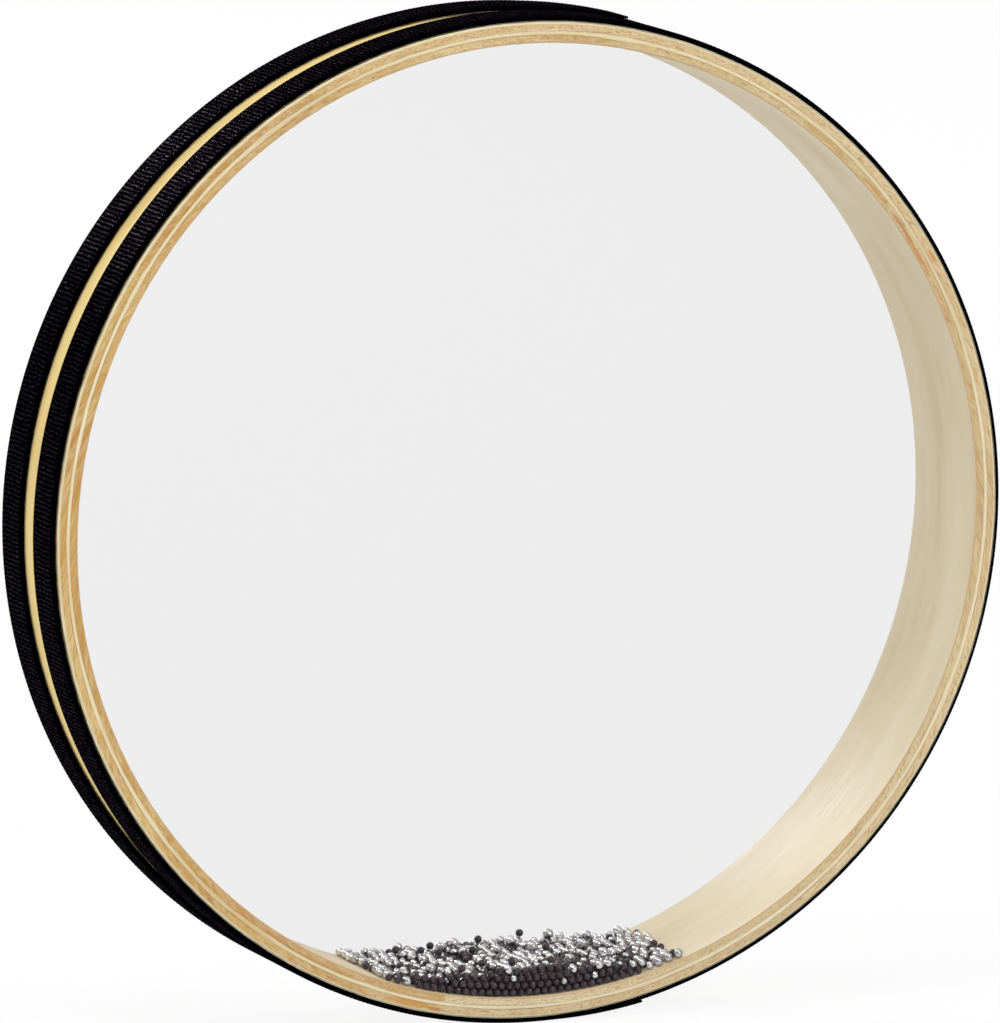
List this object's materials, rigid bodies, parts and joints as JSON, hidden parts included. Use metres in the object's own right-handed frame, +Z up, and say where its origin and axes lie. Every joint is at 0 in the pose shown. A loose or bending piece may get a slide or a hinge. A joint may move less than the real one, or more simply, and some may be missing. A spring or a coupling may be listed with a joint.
{
  "type": "ocean drum",
  "caption": "Shallow round plywood drum with two clear film heads, black woven edge bands and loose beads inside that roll like surf.",
  "frame": {"origin": "the drum's centre, on its axis and halfway through its depth", "axes": "+Y along the drum's axis towards the rear head, so the front head faces -Y; +Z up and +X to the right as seen from the front, with the drum standing on its rim"},
  "size_m": [0.3084, 0.0484, 0.3084],
  "materials": {
    "face_veneer": "satin",
    "core_veneer": "matte",
    "inner_veneer": "satin",
    "clear_film": "gloss",
    "clear_adhesive": "gloss",
    "black_webbing": "woven",
    "band_tape": "matte",
    "dark_bead": "satin",
    "steel_bead": "polished"
  },
  "bodies": {
    "shell": {"outer_face_ply": "face_veneer", "outer_core_ply": "core_veneer", "centre_ply": "face_veneer", "inner_core_ply": "core_veneer", "inner_face_ply": "inner_veneer", "front_head": "clear_film", "rear_head": "clear_film", "front_head_collar": "clear_film", "rear_head_collar": "clear_film", "front_head_adhesive": "clear_adhesive", "rear_head_adhesive": "clear_adhesive", "front_band": "black_webbing", "rear_band": "black_webbing", "front_band_tape": "band_tape", "rear_band_tape": "band_tape"},
    "front_beads": {"front_dark_beads": "dark_bead", "front_steel_beads": "steel_bead"},
    "middle_beads": {"middle_dark_beads": "dark_bead", "middle_steel_beads": "steel_bead"},
    "rear_beads": {"rear_dark_beads": "dark_bead", "rear_steel_beads": "steel_bead"}
  },
  "joints": [
    {"name": "front_bead_orbit", "type": "hinge", "parent": "shell", "child": "front_beads", "pos_m": [0, 0, 0], "axis": [0, 1, 0], "continuous": true},
    {"name": "middle_bead_orbit", "type": "hinge", "parent": "shell", "child": "middle_beads", "pos_m": [0, 0, 0], "axis": [0, 1, 0], "continuous": true},
    {"name": "rear_bead_orbit", "type": "hinge", "parent": "shell", "child": "rear_beads", "pos_m": [0, 0, 0], "axis": [0, 1, 0], "continuous": true}
  ]
}
